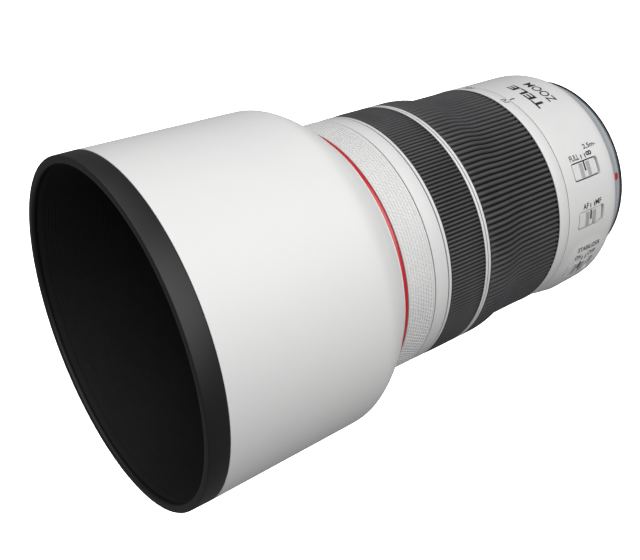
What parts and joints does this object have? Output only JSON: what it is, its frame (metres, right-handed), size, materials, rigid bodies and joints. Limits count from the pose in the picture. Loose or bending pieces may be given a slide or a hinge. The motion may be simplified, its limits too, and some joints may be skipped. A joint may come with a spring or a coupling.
{
  "type": "telephoto zoom lens",
  "caption": "White telephoto zoom lens with a bayonet hood, ribbed zoom and focus rings, a knurled control ring, slide switches and an extending front barrel.",
  "frame": {"origin": "centre of the mount flange's rear face, on the optical axis", "axes": "the lens looks along -Y and its mount faces +Y; +Z is the top, with the index mark; +X is the side with the slide switches"},
  "size_m": [0.0986, 0.1813, 0.0982],
  "materials": {
    "white_paint": "satin off-white paint on light alloy, fine texture",
    "white_hood": "satin off-white moulded plastic",
    "grip_rubber": "ribbed dark grey rubber",
    "soft_rubber": "satin black rubber",
    "black_plastic": "matt black",
    "red_ring": "glossy red",
    "mount_metal": "satin chromed brass",
    "steel": "plain steel",
    "alloy_black": "black anodised alloy",
    "gold": "gold plated",
    "optical_glass": "coated optical glass",
    "circuit": "green laminate"
  },
  "bodies": {
    "barrel": {"rear_barrel": "white_paint", "frame_tube": "alloy_black", "guide_tube": "alloy_black", "trim_ring": "white_paint", "rear_frame": "alloy_black", "mount_ring": "mount_metal", "mount_screws": "steel", "mount_seal": "soft_rubber", "contact_block": "black_plastic", "contact_pins": "gold", "main_board": "circuit", "rear_cell": "alloy_black", "rear_lens": "optical_glass", "iris_housing": "black_plastic", "iris_motor": "steel", "stabiliser_frame": "black_plastic", "focus_rods": "steel", "focus_motor": "black_plastic"},
    "zoom_ring": {"zoom_sleeve": "white_paint", "zoom_grip": "grip_rubber", "zoom_key": "steel", "cam_tube": "alloy_black"},
    "focus_ring": {"focus_sleeve": "white_paint", "focus_grip": "grip_rubber"},
    "control_ring": {"control_ring": "white_paint"},
    "front_barrel": {"extension_tube": "white_paint", "front_ring": "white_paint", "red_ring": "red_ring", "front_cell": "alloy_black", "front_lens": "optical_glass", "name_ring": "black_plastic", "cam_rollers": "steel"},
    "hood": {"hood_shell": "white_hood", "hood_rim": "soft_rubber", "hood_liner": "black_plastic"},
    "hood_button": {"hood_button": "white_hood"},
    "limiter_switch": {"limiter_switch": "white_hood"},
    "focus_switch": {"focus_switch": "white_hood"},
    "stabiliser_switch": {"stabiliser_switch": "white_hood"},
    "mode_switch": {"mode_switch": "white_hood"},
    "zoom_lock": {"zoom_lock": "white_hood"},
    "iris_drive": {"iris_drive_ring": "black_plastic"},
    "zoom_group": {"zoom_cell": "alloy_black", "zoom_lens": "optical_glass"},
    "stabiliser_slider": {"stabiliser_slider": "black_plastic"},
    "stabiliser_cell": {"stabiliser_cell": "black_plastic", "stabiliser_lens": "optical_glass"},
    "focus_group": {"focus_carriage": "alloy_black", "focus_lens": "optical_glass"},
    "iris_blade_1": {"iris_blade_1": "alloy_black"},
    "iris_blade_2": {"iris_blade_2": "alloy_black"},
    "iris_blade_3": {"iris_blade_3": "alloy_black"},
    "iris_blade_4": {"iris_blade_4": "alloy_black"},
    "iris_blade_5": {"iris_blade_5": "alloy_black"},
    "iris_blade_6": {"iris_blade_6": "alloy_black"},
    "iris_blade_7": {"iris_blade_7": "alloy_black"},
    "iris_blade_8": {"iris_blade_8": "alloy_black"},
    "iris_blade_9": {"iris_blade_9": "alloy_black"}
  },
  "joints": [
    {"name": "zoom_turn", "type": "hinge", "parent": "barrel", "child": "zoom_ring", "pos_m": [0, 0, 0], "axis": [0, 1, 0], "range_deg": [0, 75]},
    {"name": "barrel_slide", "type": "slide", "parent": "barrel", "child": "front_barrel", "axis": [0, -1, 0], "range_m": [0, 0.057]},
    {"name": "zoom_group_slide", "type": "slide", "parent": "barrel", "child": "zoom_group", "axis": [0, -1, 0], "range_m": [0, 0.01]},
    {"name": "focus_turn", "type": "hinge", "parent": "barrel", "child": "focus_ring", "pos_m": [0, 0, 0], "axis": [0, 1, 0], "continuous": true},
    {"name": "control_turn", "type": "hinge", "parent": "barrel", "child": "control_ring", "pos_m": [0, 0, 0], "axis": [0, 1, 0], "continuous": true},
    {"name": "hood_turn", "type": "hinge", "parent": "front_barrel", "child": "hood", "pos_m": [0, 0, 0], "axis": [0, -1, 0], "range_deg": [0, 60]},
    {"name": "hood_button_press", "type": "slide", "parent": "hood", "child": "hood_button", "axis": [0.9962, 0, 0.0872], "range_m": [0, 0.0012], "stiffness_N_per_m": 800},
    {"name": "limiter_switch_slide", "type": "slide", "parent": "barrel", "child": "limiter_switch", "axis": [0, 1, 0], "range_m": [0, 0.002]},
    {"name": "focus_switch_slide", "type": "slide", "parent": "barrel", "child": "focus_switch", "axis": [0, 1, 0], "range_m": [0, 0.002]},
    {"name": "stabiliser_switch_slide", "type": "slide", "parent": "barrel", "child": "stabiliser_switch", "axis": [0, 1, 0], "range_m": [0, 0.002]},
    {"name": "mode_switch_slide", "type": "slide", "parent": "barrel", "child": "mode_switch", "axis": [0, 1, 0], "range_m": [0, 0.002]},
    {"name": "zoom_lock_slide", "type": "slide", "parent": "barrel", "child": "zoom_lock", "axis": [0, 1, 0], "range_m": [0, 0.002]},
    {"name": "iris_turn", "type": "hinge", "parent": "barrel", "child": "iris_drive", "pos_m": [0, 0, 0], "axis": [0, -1, 0], "range_deg": [0, 30]},
    {"name": "iris_blade_1_turn", "type": "hinge", "parent": "barrel", "child": "iris_blade_1", "pos_m": [0.0284, -0.0676, 0], "axis": [0, -1, 0], "range_deg": [0, 24]},
    {"name": "iris_blade_2_turn", "type": "hinge", "parent": "barrel", "child": "iris_blade_2", "pos_m": [0.02176, -0.0676, 0.01826], "axis": [0, -1, 0], "range_deg": [0, 24]},
    {"name": "iris_blade_3_turn", "type": "hinge", "parent": "barrel", "child": "iris_blade_3", "pos_m": [0.00493, -0.0676, 0.02797], "axis": [0, -1, 0], "range_deg": [0, 24]},
    {"name": "iris_blade_4_turn", "type": "hinge", "parent": "barrel", "child": "iris_blade_4", "pos_m": [-0.0142, -0.0676, 0.0246], "axis": [0, -1, 0], "range_deg": [0, 24]},
    {"name": "iris_blade_5_turn", "type": "hinge", "parent": "barrel", "child": "iris_blade_5", "pos_m": [-0.02669, -0.0676, 0.00971], "axis": [0, -1, 0], "range_deg": [0, 24]},
    {"name": "iris_blade_6_turn", "type": "hinge", "parent": "barrel", "child": "iris_blade_6", "pos_m": [-0.02669, -0.0676, -0.00971], "axis": [0, -1, 0], "range_deg": [0, 24]},
    {"name": "iris_blade_7_turn", "type": "hinge", "parent": "barrel", "child": "iris_blade_7", "pos_m": [-0.0142, -0.0676, -0.0246], "axis": [0, -1, 0], "range_deg": [0, 24]},
    {"name": "iris_blade_8_turn", "type": "hinge", "parent": "barrel", "child": "iris_blade_8", "pos_m": [0.00493, -0.0676, -0.02797], "axis": [0, -1, 0], "range_deg": [0, 24]},
    {"name": "iris_blade_9_turn", "type": "hinge", "parent": "barrel", "child": "iris_blade_9", "pos_m": [0.02176, -0.0676, -0.01826], "axis": [0, -1, 0], "range_deg": [0, 24]},
    {"name": "stabiliser_sideways", "type": "slide", "parent": "barrel", "child": "stabiliser_slider", "axis": [1, 0, 0], "range_m": [-0.001, 0.001], "stiffness_N_per_m": 3000},
    {"name": "stabiliser_upright", "type": "slide", "parent": "stabiliser_slider", "child": "stabiliser_cell", "axis": [0, 0, 1], "range_m": [-0.001, 0.001], "stiffness_N_per_m": 3000},
    {"name": "focus_slide", "type": "slide", "parent": "barrel", "child": "focus_group", "axis": [0, -1, 0], "range_m": [0, 0.01]}
  ],
  "couplings": [
    {"joint": "barrel_slide", "follows": "zoom_turn", "m_per_rad": 0.043545},
    {"joint": "zoom_group_slide", "follows": "zoom_turn", "m_per_rad": 0.0076393},
    {"joint": "iris_blade_1_turn", "follows": "iris_turn", "ratio": 0.8},
    {"joint": "iris_blade_2_turn", "follows": "iris_turn", "ratio": 0.8},
    {"joint": "iris_blade_3_turn", "follows": "iris_turn", "ratio": 0.8},
    {"joint": "iris_blade_4_turn", "follows": "iris_turn", "ratio": 0.8},
    {"joint": "iris_blade_5_turn", "follows": "iris_turn", "ratio": 0.8},
    {"joint": "iris_blade_6_turn", "follows": "iris_turn", "ratio": 0.8},
    {"joint": "iris_blade_7_turn", "follows": "iris_turn", "ratio": 0.8},
    {"joint": "iris_blade_8_turn", "follows": "iris_turn", "ratio": 0.8},
    {"joint": "iris_blade_9_turn", "follows": "iris_turn", "ratio": 0.8}
  ]
}
